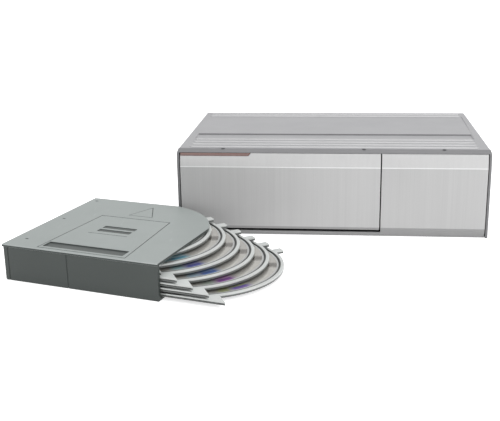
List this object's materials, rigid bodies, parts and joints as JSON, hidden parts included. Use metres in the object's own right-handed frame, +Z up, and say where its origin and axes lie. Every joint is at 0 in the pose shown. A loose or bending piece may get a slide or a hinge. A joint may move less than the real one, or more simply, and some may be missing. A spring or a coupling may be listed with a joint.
{
  "type": "car cd changer",
  "caption": "Low car CD changer with a brushed metal front door and ribbed cover, and its disc magazine with the trays fanned out in front.",
  "frame": {"origin": "centre of the unit's bottom face, on the surface it stands on", "axes": "+X to the right along the front face, +Y to the rear, +Z up"},
  "size_m": [0.3726, 0.3447, 0.0741],
  "materials": {
    "face_aluminium": "brushed",
    "cover_metal": "satin",
    "lens_smoke": "clear",
    "zinc_steel": "satin",
    "dark_plastic": "matte",
    "lid_plastic": "fine grain",
    "spine_plastic": "satin",
    "tray_plastic": "satin",
    "disc_metal": "silvered, iridescent",
    "white_plastic": "satin",
    "board_green": "satin",
    "brass": "satin",
    "screw_black": "satin",
    "spring_steel": "satin"
  },
  "bodies": {
    "chassis": {"front_bezel": "cover_metal", "bezel_screws": "screw_black", "front_panel": "face_aluminium", "chassis_pan": "zinc_steel", "top_cover": "cover_metal", "cover_screws": "screw_black", "main_board": "board_green", "board_components": "dark_plastic", "data_socket": "dark_plastic", "audio_sockets": "brass", "magazine_bay": "zinc_steel", "pusher_spring": "spring_steel", "button_spring": "spring_steel", "guide_posts": "spring_steel", "gear_stud": "spring_steel", "elevator_motor": "zinc_steel", "slide_rail": "zinc_steel"},
    "door": {"door": "face_aluminium", "door_lens": "lens_smoke", "door_pins": "spring_steel"},
    "eject_button": {"eject_button": "dark_plastic"},
    "magazine_latch": {"magazine_latch": "spring_steel"},
    "eject_pusher": {"eject_pusher": "dark_plastic"},
    "dial_left": {"dial_left": "dark_plastic"},
    "dial_right": {"dial_right": "dark_plastic"},
    "deck": {"deck_plate": "zinc_steel", "follower_rollers": "white_plastic", "spindle_motor": "zinc_steel", "guide_rods": "spring_steel", "sled_motor": "zinc_steel", "feed_rail": "spring_steel", "feed_motor": "zinc_steel"},
    "turntable": {"turntable": "dark_plastic"},
    "clamp": {"clamp_arm": "zinc_steel", "clamp_puck": "dark_plastic"},
    "pickup": {"pickup_sled": "dark_plastic", "objective_lens": "lens_smoke"},
    "sled_screw": {"sled_screw": "brass"},
    "feed_screw": {"feed_screw": "brass"},
    "tray_arm": {"tray_arm": "white_plastic"},
    "cam_slide": {"cam_slide": "dark_plastic"},
    "elevator_gear": {"elevator_gear": "white_plastic"},
    "motor_pinion": {"motor_pinion": "brass"},
    "magazine": {"magazine_case": "spine_plastic", "magazine_spine": "spine_plastic", "magazine_lid": "lid_plastic", "tray_detents": "spring_steel"},
    "tray_1": {"tray_1": "tray_plastic", "disc_1": "disc_metal"},
    "tray_2": {"tray_2": "tray_plastic", "disc_2": "disc_metal"},
    "tray_3": {"tray_3": "tray_plastic", "disc_3": "disc_metal"},
    "tray_4": {"tray_4": "tray_plastic", "disc_4": "disc_metal"},
    "tray_5": {"tray_5": "tray_plastic", "disc_5": "disc_metal"},
    "tray_6": {"tray_6": "tray_plastic", "disc_6": "disc_metal"}
  },
  "joints": [
    {"name": "door_tilt", "type": "hinge", "parent": "chassis", "child": "door", "pos_m": [-0.0434, -0.083, 0.036], "axis": [1, 0, 0], "range_deg": [0, 88]},
    {"name": "button_press", "type": "slide", "parent": "chassis", "child": "eject_button", "axis": [0, 1, 0], "range_m": [0, 0.0025], "stiffness_N_per_m": 600, "deforming": ["button_spring"]},
    {"name": "latch_release", "type": "hinge", "parent": "chassis", "child": "magazine_latch", "pos_m": [0.016, -0.023, 0.0353], "axis": [0, 0, 1], "range_deg": [0, 10], "stiffness_Nm_per_rad": 0.05},
    {"name": "pusher_slide", "type": "slide", "parent": "chassis", "child": "eject_pusher", "axis": [0, 1, 0], "range_m": [0, 0.017], "stiffness_N_per_m": 250, "deforming": ["pusher_spring"]},
    {"name": "dial_left_turn", "type": "hinge", "parent": "chassis", "child": "dial_left", "pos_m": [-0.1295, 0.007, 0.032], "axis": [1, 0, 0], "range_deg": [0, 90]},
    {"name": "dial_right_turn", "type": "hinge", "parent": "chassis", "child": "dial_right", "pos_m": [0.1295, 0.007, 0.032], "axis": [1, 0, 0], "range_deg": [0, 90]},
    {"name": "deck_lift", "type": "slide", "parent": "chassis", "child": "deck", "axis": [0, 0, 1], "range_m": [0, 0.024]},
    {"name": "turntable_spin", "type": "hinge", "parent": "deck", "child": "turntable", "pos_m": [0.0645, -0.015, 0.0347], "axis": [0, 0, 1], "continuous": true},
    {"name": "clamp_lift", "type": "hinge", "parent": "deck", "child": "clamp", "pos_m": [0.0645, 0.069, 0.0413], "axis": [-1, 0, 0], "range_deg": [0, 2.5]},
    {"name": "pickup_slide", "type": "slide", "parent": "deck", "child": "pickup", "axis": [0, 1, 0], "range_m": [0, 0.034]},
    {"name": "sled_screw_spin", "type": "hinge", "parent": "deck", "child": "sled_screw", "pos_m": [0.086, 0.021, 0.0221], "axis": [0, 1, 0], "continuous": true},
    {"name": "tray_arm_slide", "type": "slide", "parent": "deck", "child": "tray_arm", "axis": [1, 0, 0], "range_m": [0, 0.124]},
    {"name": "feed_screw_spin", "type": "hinge", "parent": "deck", "child": "feed_screw", "pos_m": [0.04, 0.063, 0.0342], "axis": [1, 0, 0], "continuous": true},
    {"name": "cam_travel", "type": "slide", "parent": "chassis", "child": "cam_slide", "axis": [0, 1, 0], "range_m": [0, 0.0321]},
    {"name": "elevator_gear_spin", "type": "hinge", "parent": "chassis", "child": "elevator_gear", "pos_m": [0.1072, 0.049, 0.0116], "axis": [0, 0, 1], "continuous": true},
    {"name": "motor_pinion_spin", "type": "hinge", "parent": "chassis", "child": "motor_pinion", "pos_m": [0.1072, 0.065, 0.0116], "axis": [0, 0, 1], "continuous": true},
    {"name": "magazine_lift", "type": "slide", "parent": "chassis", "child": "magazine", "axis": [0, 0, 1], "range_m": [0, 0.12]},
    {"name": "tray_1_slide", "type": "slide", "parent": "magazine", "child": "tray_1", "axis": [0.9603, -0.279, 0], "range_m": [-0.006, 0.104]},
    {"name": "tray_2_slide", "type": "slide", "parent": "magazine", "child": "tray_2", "axis": [0.9603, -0.279, 0], "range_m": [-0.018, 0.092]},
    {"name": "tray_3_slide", "type": "slide", "parent": "magazine", "child": "tray_3", "axis": [0.9603, -0.279, 0], "range_m": [-0.03, 0.08]},
    {"name": "tray_4_slide", "type": "slide", "parent": "magazine", "child": "tray_4", "axis": [0.9603, -0.279, 0], "range_m": [-0.042, 0.068]},
    {"name": "tray_5_slide", "type": "slide", "parent": "magazine", "child": "tray_5", "axis": [0.9603, -0.279, 0], "range_m": [-0.054, 0.056]},
    {"name": "tray_6_slide", "type": "slide", "parent": "magazine", "child": "tray_6", "axis": [0.9603, -0.279, 0], "range_m": [-0.066, 0.044]}
  ],
  "couplings": [
    {"joint": "cam_travel", "follows": "deck_lift", "ratio": 1.3333},
    {"joint": "elevator_gear_spin", "follows": "deck_lift", "rad_per_m": 277.78},
    {"joint": "motor_pinion_spin", "follows": "deck_lift", "rad_per_m": -833.33},
    {"joint": "sled_screw_spin", "follows": "pickup_slide", "rad_per_m": 2094.4},
    {"joint": "feed_screw_spin", "follows": "tray_arm_slide", "rad_per_m": 2094.4}
  ]
}
